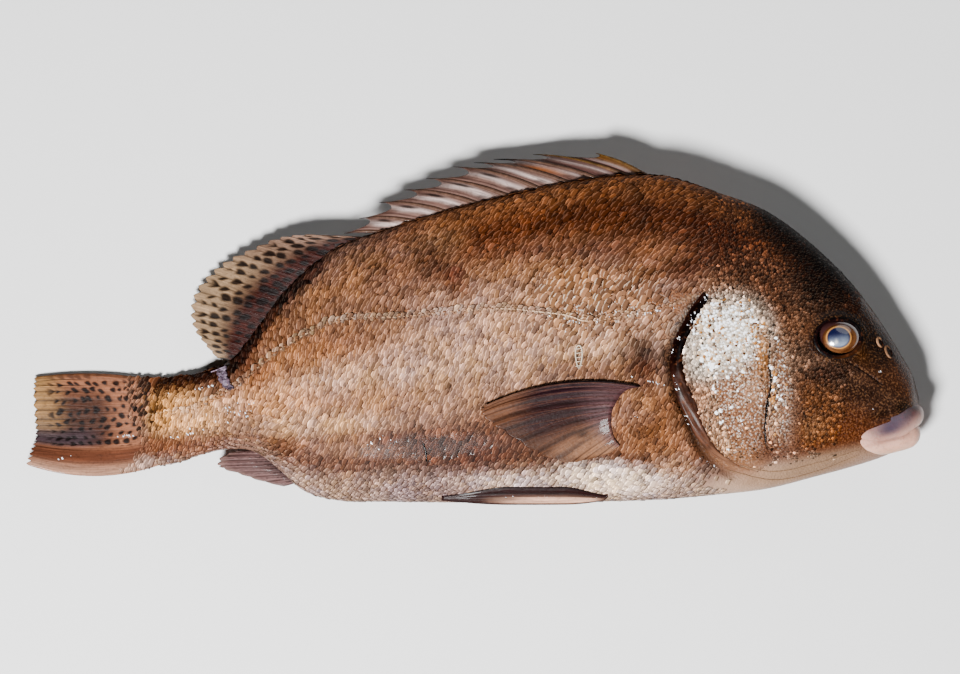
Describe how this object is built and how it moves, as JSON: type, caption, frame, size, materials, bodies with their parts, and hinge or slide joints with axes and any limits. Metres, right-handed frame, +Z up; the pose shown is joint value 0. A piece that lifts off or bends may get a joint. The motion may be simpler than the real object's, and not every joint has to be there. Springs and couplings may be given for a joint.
{
  "type": "whole raw fish",
  "caption": "Whole uncut raw reef fish lying on its side, with deep arched body, dorsal, tail, pectoral, pelvic and anal fins, gill covers and eyes.",
  "frame": {"origin": "middle of the area that the fish covers, on the surface it lies on", "axes": "+X from the tail to the snout, +Y from the belly to the back, +Z up out of the side shown"},
  "size_m": [0.4476, 0.1754, 0.0521],
  "materials": {
    "skin": "wet scaly skin, brown and silver",
    "eye": "wet, clouded blue"
  },
  "bodies": {
    "root": {"fish": "skin", "eye_right": "eye", "eye_left": "eye"}
  },
  "joints": []
}
